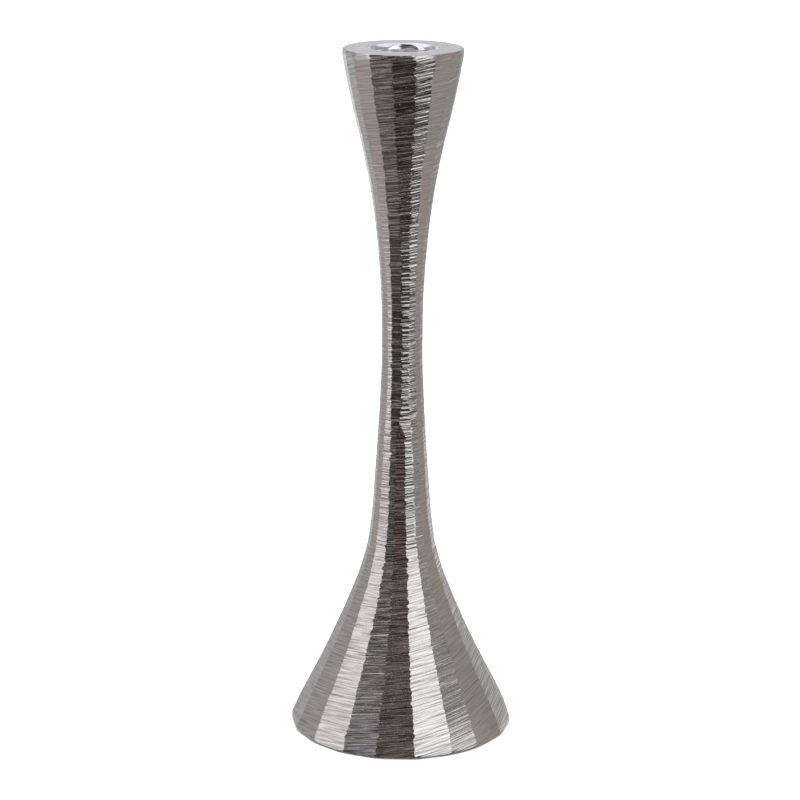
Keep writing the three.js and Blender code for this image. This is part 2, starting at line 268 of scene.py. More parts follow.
def iron_weight():
    """Sand-cast weight, blackened."""
    m, n = new_material("cast_weight", (0.1, 0.1, 0.1))
    pos, _ = object_mm(n)
    grain = n.noise(pos, 2.6, 5.0, 0.65)
    cloud = n.noise(pos, 0.25, 3.0, 0.5)
    tone = n.mix(n.span(cloud, 0.3, 0.7), (0.055, 0.053, 0.052, 1), (0.12, 0.105, 0.095, 1))
    finish_material(n, 0.7, tone, n.span(grain, 0.3, 0.7, 0.6, 0.85), n.bump(grain, 0.0002))
    return m


def grey_board():
    m, n = new_material("backing_board", (0.42, 0.37, 0.31))
    pos, (x, y, z) = object_mm(n)
    fibre = n.noise(n.vec(n.math("MULTIPLY", x, 0.7), n.math("MULTIPLY", y, 2.6), z), 1.0, 5.0, 0.7)
    fleck = n.span(n.noise(pos, 3.1, 2.0, 0.5), 0.62, 0.72)
    tone = n.mix(fibre, (0.36, 0.32, 0.27, 1), (0.5, 0.45, 0.38, 1))
    tone = n.mix(n.math("MULTIPLY", fleck, 0.6), tone, (0.2, 0.17, 0.14, 1))
    finish_material(n, 0.0, tone, n.span(fibre, 0.3, 0.7, 0.85, 0.97), n.bump(fibre, 0.00008))
    return m


def sole_rubber():
    m, n = new_material("sole_rubber", (0.03, 0.03, 0.035))
    pos, _ = object_mm(n)
    grain = n.noise(pos, 3.4, 4.0, 0.6)
    dust = n.span(n.noise(pos, 0.35, 4.0, 0.6), 0.5, 0.75)
    tone = n.mix(n.span(grain, 0.3, 0.7), (0.022, 0.022, 0.024, 1), (0.04, 0.04, 0.043, 1))
    tone = n.mix(n.math("MULTIPLY", dust, 0.18), tone, (0.16, 0.155, 0.15, 1))
    finish_material(n, 0.0, tone, n.span(grain, 0.3, 0.7, 0.62, 0.82), n.bump(grain, 0.00012))
    return m


MAT = {
    "ground": ground_metal(),
    "ring": ring_metal(),
    "cup": polished_metal(),
    "bored": machined_metal("bored_casting", (0.56, 0.55, 0.54), (0.47, 0.46, 0.45), 0.32, 0.46),
    "steel": machined_metal("plated_steel", (0.60, 0.61, 0.63), (0.52, 0.53, 0.55), 0.24, 0.38),
    "iron": iron_weight(),
    "board": grey_board(),
    "rubber": sole_rubber(),
}

# ------------------------------------------------------------------ outline and facets
PROFILE_Z = np.array([0, 0.01, 0.025, 0.05, 0.08, 0.12, 0.16, 0.20, 0.24, 0.28, 0.33, 0.38, 0.44,
                      0.50, 0.56, 0.62, 0.68, 0.74, 0.80, 0.86, 0.92, 0.97, 0.994, 1.0])
PROFILE_R = np.array([0.16244, 0.16014, 0.15406, 0.14231, 0.12712, 0.10781, 0.08996, 0.07348,
                      0.05893, 0.04881, 0.04268, 0.03901, 0.03497, 0.03147, 0.02941, 0.02963,
                      0.03229, 0.0374, 0.0455, 0.05703, 0.0711, 0.08107, 0.08451, 0.08385])
CORNER_SCALE, END_FLARE, END_FLARE_Z = 1.005, 0.008, 6.0
RIM_Z, RIM_R, RING_R = 0.5, 42.3, 21.85
JOINT_Z = 118.2

FOOT_LEVELS = [0, 0.14, 0.25, 0.32, 0.42]
FOOT_CORNERS = [
    [-70, -70, -69, -69, -66], [-51, -50, -49.5, -49, -47], [-31, -30, -28, -27, -27.5],
    [-13, -12, -12, -14, -14], [7, 7, 8.3, 8, 7.5], [27, 27, 28, 25.5, 24.5],
    [42.5, 43, 43, 42, 41], [64, 64, 64, 60.5, 60], [83.5, 83.5, 83, 81.5, 80.5],
    [105, 104.5, 103, 102.5, 101.5], [123.5, 124, 124, 122.5, 121], [144.5, 144, 143, 142, 142.5],
    [166, 165.5, 165, 164.5, 163], [184.5, 185, 186, 186.5, 185], [206, 206, 205, 204, 205],
    [227.5, 227, 226, 226.5, 227], [246, 246.5, 247.5, 248, 249], [268.5, 268.5, 269.5, 270, 271.5],
]
STEM_LEVELS = [0.45, 0.50, 0.64, 0.71, 0.86, 1.0]
STEM_CORNERS = [
    [-65, -65, -66, -67, -68, -69], [-44, -43, -43.5, -49, -52.5, -54],
    [-30, -30, -31, -31, -30.5, -33], [-3, -3, -2.5, -3.5, -9, -10.5],
    [20, 20, 19.5, 17, 13, 11.5], [39.5, 38.5, 38, 35, 31, 30], [58, 58, 57, 55, 52, 51],
    [77, 77, 76, 75, 73, 72], [96, 96, 95.5, 95, 93.5, 92.5], [115, 115, 114.5, 113.5, 112, 111],
    [134.5, 134, 134, 133.5, 132.5, 132], [153, 153, 153, 152.5, 152, 151.5],
    [173, 173, 172.5, 172, 171.5, 171], [192, 192, 192, 192, 192, 192],
    [210, 210, 210, 210.5, 211, 211], [230, 230, 230.5, 231, 232, 232],
    [251, 251, 251, 251, 251, 251], [273, 273, 272.5, 272, 271.5, 271.5],
]
SYSTEMS = {"foot": (FOOT_LEVELS, FOOT_CORNERS), "stem": (STEM_LEVELS, STEM_CORNERS)}


def _slopes():
    h = np.diff(PROFILE_Z)
    d = np.diff(PROFILE_R) / h
    m = np.zeros(len(PROFILE_Z))
    for i in range(1, len(m) - 1):
        if d[i - 1] * d[i] > 0:
            w1, w2 = 2 * h[i] + h[i - 1], h[i] + 2 * h[i - 1]
            m[i] = (w1 + w2) / (w1 / d[i - 1] + w2 / d[i])
    m[0], m[-1] = d[0], d[-1]
    return m


SLOPES = _slopes()


def corner_radius(z):
    """Radius of the facet corners at height z (mm)."""
    q = np.clip(z / H, 0, 1)
    i = np.clip(np.searchsorted(PROFILE_Z, q, side="left") - 1, 0, len(PROFILE_Z) - 2)
    h = PROFILE_Z[i + 1] - PROFILE_Z[i]
    t = (q - PROFILE_Z[i]) / h
    a, b, ma, mb = PROFILE_R[i], PROFILE_R[i + 1], SLOPES[i] * h, SLOPES[i + 1] * h
    r = (a * (1 + 2 * t) * (1 - t) ** 2 + ma * t * (1 - t) ** 2
         + b * t * t * (3 - 2 * t) + mb * t * t * (t - 1))
    end = np.minimum(z, H - z)
    flare = END_FLARE * np.clip(1 - end / END_FLARE_Z, 0, None) ** 2
    return r * H * (CORNER_SCALE + flare)


def corners(kind, z):
    levels, rows = SYSTEMS[kind]
    return np.stack([np.interp(z / H, levels, r) for r in rows] + [np.interp(z / H, levels, rows[0]) + 360], 1)


# ------------------------------------------------------------------ seeded noise
_tables = {}


def vnoise(x, y, seed):
    """Smooth value noise in -1..1."""
    if seed not in _tables:
        _tables[seed] = np.random.RandomState(seed).uniform(-1, 1, (256, 256))
    t = _tables[seed]
    xi, yi = np.floor(x).astype(np.int64), np.floor(y).astype(np.int64)
    fx, fy = x - xi, y - yi
    fx, fy = fx * fx * (3 - 2 * fx), fy * fy * (3 - 2 * fy)
    a = t[xi & 255, yi & 255] * (1 - fx) + t[(xi + 1) & 255, yi & 255] * fx
    b = t[xi & 255, (yi + 1) & 255] * (1 - fx) + t[(xi + 1) & 255, (yi + 1) & 255] * fx
    return a * (1 - fy) + b * fy


# ------------------------------------------------------------------ grinding cuts
TAB_STEP = 0.02
TAB_Z = np.arange(-40, 300, TAB_STEP)


def cut_table(seed, mean, steep):
    """Depth of cut against distance along a facet: one shallow scallop for each pass."""
    rng = np.random.RandomState(seed)
    edges = [TAB_Z[0]]
    while edges[-1] < TAB_Z[-1]:
        w = float(np.clip(mean * math.exp(rng.normal(0, 0.42)), 0.38 * mean, 2.2 * mean))
        edges.append(edges[-1] + w)
    edges = np.array(edges)
    n = len(edges) - 1
    w = np.diff(edges)
    sag = w / 4 * steep * rng.uniform(0.35, 1.7, n)
    base = rng.normal(0, 0.026, n)
    i = np.clip(np.searchsorted(edges, TAB_Z, side="right") - 1, 0, n - 1)
    c = (TAB_Z - (edges[i] + edges[i + 1]) / 2) / (w[i] / 2)
    g = base[i] + sag[i] * (1 - c ** 2)
    k = np.ones(7) / 7
    g = np.convolve(g, k, "same")
    return g - g.mean()


class Facet:
    def __init__(self, kind, k):
        self.kind, self.k = kind, k
        self.seed = (0 if kind == "foot" else 500) + 10 * k
        rng = np.random.RandomState(9000 + self.seed)
        self.tab = cut_table(self.seed + 1, 1.0 if kind == "foot" else 1.15, 0.22)
        self.slope = 0.135 + rng.normal(0, 0.028)
        self.coarse = float(rng.uniform(0.55, 1.15))
        near = {"stem": {0: 0.55, 1: 0.45, 2: 1.1, 3: 1.4, 4: 1.6, 5: 0.45, 6: 0.40, 7: 0.6, 17: 0.6},
                "foot": {0: 0.6, 1: 0.9, 2: 1.3, 3: 1.4, 4: 1.0, 5: 0.75, 6: 0.5, 7: 0.7, 17: 0.6}}
        self.coarse = near[kind].get(k, self.coarse)
        # where this facet's cut runs out, near the joint
        self.ze = 120.6 + rng.uniform(-1.0, 1.2)       # stem facets end here, going down
        self.zs = 116.4 + rng.uniform(-1.2, 1.0)       # foot facets end here, going up
        if kind == "stem" and k in (3, 4, 5):
            self.ze = {3: 119.6, 4: 120.6, 5: 120.4}[k]
        if kind == "foot" and k in (1, 2, 3, 4):
            self.zs = {1: 121.5, 2: 116.0, 3: 115.4, 4: 116.6}[k]

    def lean(self, z):
        """How far the passes lean up to the right; nearly level at the waist."""
        q = z / H
        return self.slope * np.interp(q, [0, 0.25, 0.45, 0.62, 0.8, 1.0], [0.95, 0.8, 0.35, 0.35, 0.9, 1.15])

    def along(self, u, z):
        s = self.seed
        return z - self.lean(z) * u + 0.16 * vnoise(u / 2.4 + 11, z / 1.7, s + 2)

    def depth(self, u, z):
        s = self.seed
        v = self.along(u, z)
        g = np.interp(v, TAB_Z, self.tab)
        g = g * self.coarse * (1 + 0.45 * vnoise(u / 3.1 + 7, v / 0.9, s + 3))
        g = g + 0.012 * vnoise(u / 7.0 + 3, z / 4.6, s + 4) + 0.010 * vnoise(u / 2.6, z / 1.3, s + 5)
        return g


FACETS = {kind: [Facet(kind, k) for k in range(18)] for kind in SYSTEMS}
RUN_OUT = 12.0


def facet_rho(f, R, a, b, z, dt):
    """Radius of one facet's ground face, dt degrees round from its middle."""
    d = R * np.cos(np.radians((b - a) / 2))
    if f.kind == "stem":
        d = d + np.clip(f.ze - z, 0, None) ** 2 / (2 * RUN_OUT)
    else:
        d = d + np.clip(z - f.zs, 0, None) ** 2 / (2 * RUN_OUT)
    t = np.radians(dt)
    return (d - f.depth(d * np.tan(t), z)) / np.cos(t)


def surface(z, th):
    """Radius of the ground surface. z is (n,) in mm, th is (n, m) in degrees."""
    zz = np.broadcast_to(z[:, None], th.shape)
    R = np.broadcast_to(corner_radius(z)[:, None], th.shape)
    best = R.copy()
    for kind in SYSTEMS:
        rows = np.where(z > 111.0 if kind == "stem" else z < 125.0)[0]
        if not len(rows):
            continue
        rs = slice(rows[0], rows[-1] + 1)
        e = corners(kind, z[rs])
        for k, f in enumerate(FACETS[kind]):
            a, b = e[:, k:k + 1], e[:, k + 1:k + 2]
            dt = (th[rs] - (a + b) / 2 + 180) % 360 - 180
            i, j = np.where(np.abs(dt) < (b - a) / 2 + 9)
            if not len(i):
                continue
            rho = facet_rho(f, R[rs][i, j], a[i, 0], b[i, 0], zz[rs][i, j], dt[i, j])
            best[rs.start + i, j] = np.minimum(best[rs][i, j], rho)
    return best


def ragged_corners(kind, z):
    """Where neighbouring facets really meet, row by row, once both are cut."""
    e = corners(kind, z)
    R = corner_radius(z)
    out = e.copy()
    steps = np.linspace(-1, 1, 25)
    for k in range(18):
        left, right = (k - 1) % 18, k
        la, lb = e[:, left], e[:, left + 1]
        ra, rb = e[:, k], e[:, k + 1]
        shift = np.minimum(1.1 / R, np.radians(np.minimum(lb - la, rb - ra)) * 0.33)
        th = e[:, k:k + 1] + np.degrees(shift)[:, None] * steps[None, :]
        Z, RR = np.broadcast_arrays(z[:, None], R[:, None])
        dl = (th - ((la + lb) / 2)[:, None] + 180) % 360 - 180
        dr = (th - ((ra + rb) / 2)[:, None] + 180) % 360 - 180
        diff = (facet_rho(FACETS[kind][left], R[:, None], la[:, None], lb[:, None], z[:, None], dl)
                - facet_rho(FACETS[kind][right], R[:, None], ra[:, None], rb[:, None], z[:, None], dr))
        cross = (diff[:, :-1] <= 0) & (diff[:, 1:] > 0)
        f = diff[:, :-1] / np.where(cross, diff[:, :-1] - diff[:, 1:], 1.0)
        pos = steps[:-1] + np.clip(f, 0, 1) * (steps[1] - steps[0])
        score = np.where(cross, np.abs(pos), 9.0)
        j = np.argmin(score, 1)
        i = np.arange(len(z))
        best = np.where(score[i, j] < 9, pos[i, j], 0.0)
        out[:, k] = e[:, k] + np.degrees(shift) * best
    out[:, 18] = out[:, 0] + 360
    return out


# ------------------------------------------------------------------ mesh helpers
def mesh_object(name, verts, faces, mats, face_mat=None, sharp_edges=None, uvs=None):
    """verts in mm. sharp_edges is a set of (a, b) vertex pairs, a < b."""
    me = bpy.data.meshes.new(name)
    verts = np.asarray(verts, np.float64) / 1000.0
    faces = np.asarray(faces)
    me.vertices.add(len(verts))
    me.vertices.foreach_set("co", verts.astype(np.float32).ravel())
    k = faces.shape[1]
    me.loops.add(faces.size)
    me.loops.foreach_set("vertex_index", faces.astype(np.int32).ravel())
    me.polygons.add(len(faces))
    me.polygons.foreach_set("loop_start", (np.arange(len(faces)) * k).astype(np.int32))
    me.polygons.foreach_set("loop_total", np.full(len(faces), k, np.int32))
    me.update(calc_edges=True)
    me.polygons.foreach_set("use_smooth", np.ones(len(faces), bool))
    if face_mat is not None:
        me.polygons.foreach_set("material_index", np.asarray(face_mat, np.int32))
    if uvs is not None:
        layer = me.uv_layers.new(name="cut")
        layer.data.foreach_set("uv", np.asarray(uvs, np.float32).ravel())
    if sharp_edges is not None and len(sharp_edges):
        ev = np.zeros(len(me.edges) * 2, np.int32)
        me.edges.foreach_get("vertices", ev)
        ev = np.sort(ev.reshape(-1, 2), 1).astype(np.int64)
        key = ev[:, 0] * len(verts) + ev[:, 1]
        want = np.sort(np.asarray(sharp_edges, np.int64), 1)
        wkey = want[:, 0] * len(verts) + want[:, 1]
        attr = me.attributes.new("sharp_edge", "BOOLEAN", "EDGE")
        attr.data.foreach_set("value", np.isin(key, wkey))
    me.validate()
    ob = bpy.data.objects.new(name, me)
    for mt in mats:
        me.materials.append(mt)
    bpy.context.scene.collection.objects.link(ob)
    return ob


def loop_grid(name, P, mats, row_mat=None, hard_rows=(), uv=None, hard_columns=(), wall_rows=0, coarse=None):
    """P is (rows, cols, 3). Rows and columns both close on themselves, so the result is a
    closed ring-shaped body. Columns run anticlockwise seen from above and rows run up the
    outside. hard_rows are the rows whose edge is a real corner. uv holds the four corner
    coordinates of every face, row after row."""
    nr, nc, _ = P.shape
    idx = np.arange(nr * nc).reshape(nr, nc)
    a = idx
    b = np.roll(idx, -1, 1)
    d = np.roll(idx, -1, 0)
    c = np.roll(b, -1, 0)
    faces = np.stack([a, b, c, d], -1).reshape(-1, 4)
    fm = None
    if row_mat is not None:
        fm = np.repeat(np.asarray(row_mat), nc)
    sharp = []
    for r in hard_rows:
        sharp.append(np.stack([idx[r], np.roll(idx[r], -1)], 1))
    for c_ in hard_columns:
        sharp.append(np.stack([idx[:wall_rows - 1, c_], idx[1:wall_rows, c_]], 1))
    sharp = np.concatenate(sharp) if sharp else None
    ob = mesh_object(name, P.reshape(-1, 3), faces, mats, fm, sharp, uv)
    if coarse is not None:
        attr = ob.data.attributes.new("coarse", "FLOAT", "FACE")
        attr.data.foreach_set("value", np.tile(np.asarray(coarse, np.float32), nr))
    return ob


def polar(r, th, z):
    """Points from radius (mm), angle from the front (degrees) and height (mm)."""
    t = np.radians(th)
    r, t, z = np.broadcast_arrays(r, t, z)
    return np.stack([r * np.sin(t), -r * np.cos(t), z], -1)


FACET_COLUMNS = (0.0, 0.05, 0.14, 0.26, 0.38, 0.5, 0.62, 0.74, 0.86, 0.95)


def facet_columns(kind, z):
    """Column angles (n, 180): the first of each ten follows the corner between two facets."""
    e = ragged_corners(kind, z)
    cols, owner = [], []
    for k in range(18):
        for q in FACET_COLUMNS:
            cols.append(e[:, k] + q * (e[:, k + 1] - e[:, k]))
            owner.append(k)
    return np.stack(cols, 1), np.array(owner)


def cut_uv(kind, z_rows, th, r, owner, total_rows):
    """Corner coordinates for every face of the grid: across and along the facet, in mm."""
    nr, nc = th.shape
    e = corners(kind, z_rows)
    out = np.zeros((total_rows, nc, 4, 2))
    for k in range(18):
        f = FACETS[kind][k]
        cs = np.where(owner == k)[0]
        phi = (e[:, k] + e[:, k + 1]) / 2
        for corner, (di, dj) in enumerate(((0, 0), (0, 1), (1, 1), (1, 0))):
            i = np.arange(nr - 1)
            jj = (cs + dj) % nc
            t = th[i[:, None] + di, jj[None, :]]
            rr = r[i[:, None] + di, jj[None, :]]
            zc = np.broadcast_to(z_rows[i + di][:, None], t.shape)
            dt = (t - phi[i + di][:, None] + 180) % 360 - 180
            u = rr * np.sin(np.radians(dt))
            v = zc - f.lean(zc) * u + 400.0 * k
            out[i[:, None], cs[None, :], corner, 0] = u
            out[i[:, None], cs[None, :], corner, 1] = v
    return out


# ------------------------------------------------------------------ foot casting
SPIGOT_R, SPIGOT_TOP, CLEAR_R = 5.5, 122.0, 3.3
RECESS_R, LEDGE_Z, POCKET_R0, POCKET_R1, POCKET_TOP = 37.6, 3.0, 33.0, 27.3, 20.0


def build_foot():
    z = np.concatenate([[RIM_Z + 0.16, RIM_Z + 0.32, RIM_Z + 0.5], np.arange(RIM_Z + 0.72, JOINT_Z - 0.16, 0.2315),
                        [JOINT_Z - 0.14, JOINT_Z - 0.03]])
    th, owner = facet_columns("foot", z)
    r = surface(z, th)
    # the rim is turned round: it clips the corners and is eased at the bottom edge
    ang = th[0]
    rim = RIM_R + 0.10 * vnoise(ang / 9.0, ang * 0, 71)
    ease = 0.24 * np.clip(1 - (z - RIM_Z) / 0.5, 0, 1) ** 2.0
    r = np.minimum(r, rim[None, :] - ease[:, None] + np.clip(z - 3.0, 0, None)[:, None] * 5)
    # small nicks along the bottom edge
    t0 = np.radians(th) * RIM_R
    nick = np.clip(vnoise(t0 / 0.9, z[:, None] / 0.9 + 0 * t0, 72) - 0.45, 0, None) * np.exp(-((z[:, None] - RIM_Z) / 0.8) ** 2)
    r = r - 0.8 * nick
    r[-1] -= 0.05
    P = [polar(r, th, z[:, None])]
    n_wall = len(z)
    last, first = th[-1], th[0]
    inner = []

    def ring(rad, zz, ang):
        inner.append(polar(rad, ang, zz)[None])

    ring(r[-1] - 0.12, JOINT_Z, last)
    ring(SPIGOT_R + 0.25, JOINT_Z, last)
    ring(SPIGOT_R, JOINT_Z + 0.05, last)
    ring(SPIGOT_R, SPIGOT_TOP - 0.4, last)
    ring(SPIGOT_R - 0.35, SPIGOT_TOP, last)
    ring(CLEAR_R + 0.2, SPIGOT_TOP, last)
    ring(CLEAR_R, SPIGOT_TOP - 0.2, last)
    ring(CLEAR_R, POCKET_TOP + 0.3, first)
    ring(CLEAR_R + 0.3, POCKET_TOP, first)
    ring(POCKET_R1 - 1.0, POCKET_TOP, first)
    ring(POCKET_R1 + 0.25, POCKET_TOP - 0.7, first)
    ring(POCKET_R0 - 0.15, LEDGE_Z + 0.45, first)
    ring(POCKET_R0 + 0.35, LEDGE_Z, first)
    ring(RECESS_R - 0.3, LEDGE_Z, first)
    ring(RECESS_R, LEDGE_Z - 0.3, first)
    ring(RECESS_R, RIM_Z + 0.25, first)
    ring(RECESS_R + 0.25, RIM_Z + 0.02, first)
    ring(RIM_R - 0.62, RIM_Z, first)
    ring(RIM_R - 0.42, RIM_Z + 0.04, first)
    P = np.concatenate(P + inner, 0)
    nr = P.shape[0]
    rm = np.ones(nr, int)
    rm[:n_wall - 1] = 0
    rm[nr - 1] = 0
    rm[nr - 3:nr - 1] = 1
    uv = cut_uv("foot", z, th, r, owner, nr)
    hard = [n_wall + i for i in (1, 2, 3, 4, 5, 6, 7, 8, 9, 11, 12, 13, 15, 16)]
    ob = loop_grid("foot_casting_ground", P, [MAT["ground"], MAT["bored"]], rm, hard, uv, range(0, 180, 10), n_wall - 4,
                   [FACETS["foot"][k].coarse for k in owner])
    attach(ob, "root"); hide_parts("foot_casting")
    return ob


# ------------------------------------------------------------------ stem casting
CUP_R, CUP_BASE, BOSS_R, BOSS_BOTTOM = 12.6, 234.0, 6.0, 226.3
SEAT_R = CUP_R + 0.3


def build_stem():
    z = np.concatenate([[JOINT_Z + 0.03, JOINT_Z + 0.14], np.arange(JOINT_Z + 0.36, H - 0.62, 0.277),
                        [H - 0.42, H - 0.26, H - 0.13]])
    th, owner = facet_columns("stem", z)
    r = surface(z, th)
    r[0] -= 0.05
    ang = th[-1]
    # the ring is turned round and eased over the edge, with small dents from use
    top = RING_R + 0.06 * vnoise(ang / 11.0, ang * 0, 81)
    ease = 0.16 * np.clip(1 - (H - z) / 0.6, 0, 1) ** 1.6
    r = np.minimum(r, top[None, :] + 0.16 - ease[:, None] + np.clip((H - 0.9) - z, 0, None)[:, None] * 0.25
                   + np.clip((H - 3.0) - z, 0, None)[:, None] * 5)
    t0 = np.radians(th) * RING_R
    nick = np.clip(vnoise(t0 / 0.8, z[:, None] / 0.8 + 0 * t0, 82) - 0.42, 0, None) * np.exp(-((H - z[:, None]) / 0.55) ** 2)
    r = r - 0.5 * nick
    n_wall = len(z)
    P = [polar(r, th, z[:, None])]
    first, last = th[0], th[-1]
    edge = r[-1]
    inner, mats = [], []

    def ring(rad, zz, angs, mat):
        inner.append(polar(rad, angs, zz)[None])
        mats.append(mat)

    dent = nick[-1]
    ring(edge - 0.10, H - 0.05 - 0.10 * dent, last, 1)
    ring(edge - 0.26, H - 0.012 - 0.05 * dent, last, 1)
    ring(edge - 0.5, H + 0 * edge, last, 1)
    for q in (0.12, 0.3, 0.5, 0.7, 0.88):
        rr = (edge - 0.5) * (1 - q) + (SEAT_R + 0.35) * q
        ring(rr, H - 0.004 * (1 + vnoise(last / 23.0, last * 0 + q * 9, 83)), last, 1)
    ring(SEAT_R + 0.10, H - 0.002, last, 1)
    ring(SEAT_R + 0.02, H - 0.02, last, 1)
    ring(SEAT_R, H - 0.08, last, 2)
    ring(SEAT_R, CUP_BASE - 0.05, last, 2)
    ring(SEAT_R - 0.25, CUP_BASE - 0.3, last, 2)
    ring(BOSS_R + 0.6, CUP_BASE - 0.3, last, 2)
    ring(BOSS_R + 0.3, CUP_BASE - 0.6, last, 2)
    ring(BOSS_R + 0.3, BOSS_BOTTOM - 0.3, last, 2)
    ring(CLEAR_R + 0.25, BOSS_BOTTOM - 0.3, last, 2)
    ring(CLEAR_R, BOSS_BOTTOM - 0.55, last, 2)
    ring(CLEAR_R, SPIGOT_TOP + 0.5, first, 2)
    ring(CLEAR_R + 0.2, SPIGOT_TOP + 0.3, first, 2)
    ring(SPIGOT_R + 0.3, SPIGOT_TOP + 0.3, first, 2)
    ring(SPIGOT_R + 0.3, JOINT_Z + 0.35, first, 2)
    ring(SPIGOT_R + 0.65, JOINT_Z, first, 2)
    ring(r[0] - 0.12, JOINT_Z, first, 2)
    P = np.concatenate(P + inner, 0)
    nr = P.shape[0]
    rm = np.zeros(nr, int)
    rm[n_wall - 1:n_wall - 1 + len(mats)] = mats
    rm[nr - 1] = 2
    uv = cut_uv("stem", z, th, r, owner, nr)
    hard = [n_wall + i for i in range(11, len(mats))]
    ob = loop_grid("stem_casting_ground", P, [MAT["ground"], MAT["ring"], MAT["bored"]], rm, hard, uv, range(0, 180, 10), n_wall - 2,
                   [FACETS["stem"][k].coarse for k in owner])
    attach(ob, "root"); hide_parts("stem_casting")
    return ob


build_foot()
build_stem()


# ------------------------------------------------------------------ turned pieces
def turned(name, profile, mats, seg=144, row_mat=None, hard=(), wobble=None):
    """A closed ring-shaped turned body from [radius, z] points, up the outside first."""
    th = np.arange(seg) * 360.0 / seg
    P = np.stack([polar(np.full(seg, rr), th, np.full(seg, zz)) for rr, zz in profile], 0)
    if wobble is not None:
        P = wobble(P)
    return loop_grid(name, P, mats, row_mat, hard)


def build_cup():
    prof = [(5.7, 226.3), (6.0, 226.6), (6.0, 233.75), (6.15, 234.0), (12.25, 234.0), (12.6, 234.35), (12.6, 258.9),
            (12.84, 259.35), (12.86, 259.90), (12.80, 259.985), (12.55, 259.99), (12.32, 259.93), (12.0, 259.74),
            (11.7, 259.46), (11.42, 259.10), (11.2, 258.70), (11.07, 258.3), (11.0, 257.8), (11.0, 250.0), (11.0, 244.0), (11.0, 237.9), (10.93, 237.45),
            (10.75, 237.18), (10.45, 237.03), (10.1, 237.0), (7.5, 236.97), (4.2, 236.96), (3.75, 236.98), (3.5, 236.85),
            (3.3, 236.6), (3.3, 226.8), (3.6, 226.3)]
    ob = turned("candle_cup_turned", prof, [MAT["cup"]], 160, None, (1, 3, 4))
    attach(ob, "root"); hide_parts("candle_cup")


def build_rod():
    """The rod with real helical threads at both ends."""
    z0, z1 = 3.6, 236.2
    zs = np.concatenate([[z0, z0, z0 + 0.25], np.arange(z0 + 0.35, z0 + 14.0, 0.11), [z0 + 14.6, 60, 120, 180, z1 - 12.6],
                         np.arange(z1 - 12.0, z1 - 0.35, 0.11), [z1 - 0.25, z1, z1]])
    seg = 48
    th = np.arange(seg) * 360.0 / seg
    rows = []
    for i, zz in enumerate(zs):
        frac = (zz / 1.0 - th / 360.0) % 1.0
        tri = np.clip(np.abs(frac - 0.5) * 2.4 - 0.1, 0, 1)
        r = 2.42 + 0.56 * tri
        if z0 + 14.0 < zz < z1 - 12.1:
            r = np.full(seg, 2.70)
        if i in (1, len(zs) - 2):
            r = np.full(seg, 2.25)
        if i in (0, len(zs) - 1):
            r = np.full(seg, 0.0001)
        fade = min(1.0, max(0.0, min(abs(zz - z0), abs(z1 - zz)) / 0.7 + 0.25))
        if i not in (0, 1, len(zs) - 1, len(zs) - 2):
            r = np.minimum(r, 2.3 + 0.7 * fade)
        rows.append(polar(r, th, np.full(seg, zz)))
    P = np.stack(rows)
    nr = len(P)
    verts = P[1:-1].reshape(-1, 3)
    n_mid = nr - 2
    idx = np.arange(n_mid * seg).reshape(n_mid, seg)
    a, b = idx[:-1], np.roll(idx, -1, 1)[:-1]
    d, c = idx[1:], np.roll(idx, -1, 1)[1:]
    quads = np.stack([a, b, c, d], -1).reshape(-1, 4)
    lo, hi = len(verts), len(verts) + 1
    verts = np.concatenate([verts, [[0, 0, z0], [0, 0, z1]]])
    tri_lo = [[lo, int(idx[0][(j + 1) % seg]), int(idx[0][j])] for j in range(seg)]
    tri_hi = [[hi, int(idx[-1][j]), int(idx[-1][(j + 1) % seg])] for j in range(seg)]
    faces = [tuple(q) for q in quads.tolist()] + [tuple(t) for t in tri_lo + tri_hi]
    me = bpy.data.meshes.new("tie_rod_threaded")
    me.from_pydata((verts / 1000.0).tolist(), [], faces)
    me.polygons.foreach_set("use_smooth", np.ones(len(me.polygons), bool))
    ends = set(idx[0].tolist()) | set(idx[-1].tolist())
    attr = me.attributes.new("sharp_edge", "BOOLEAN", "EDGE")
    attr.data.foreach_set("value", [e.vertices[0] in ends and e.vertices[1] in ends for e in me.edges])
    me.validate()
    me.materials.append(MAT["steel"])
    ob = bpy.data.objects.new("tie_rod_threaded", me)
    bpy.context.scene.collection.objects.link(ob)
    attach(ob, "root"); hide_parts("tie_rod")


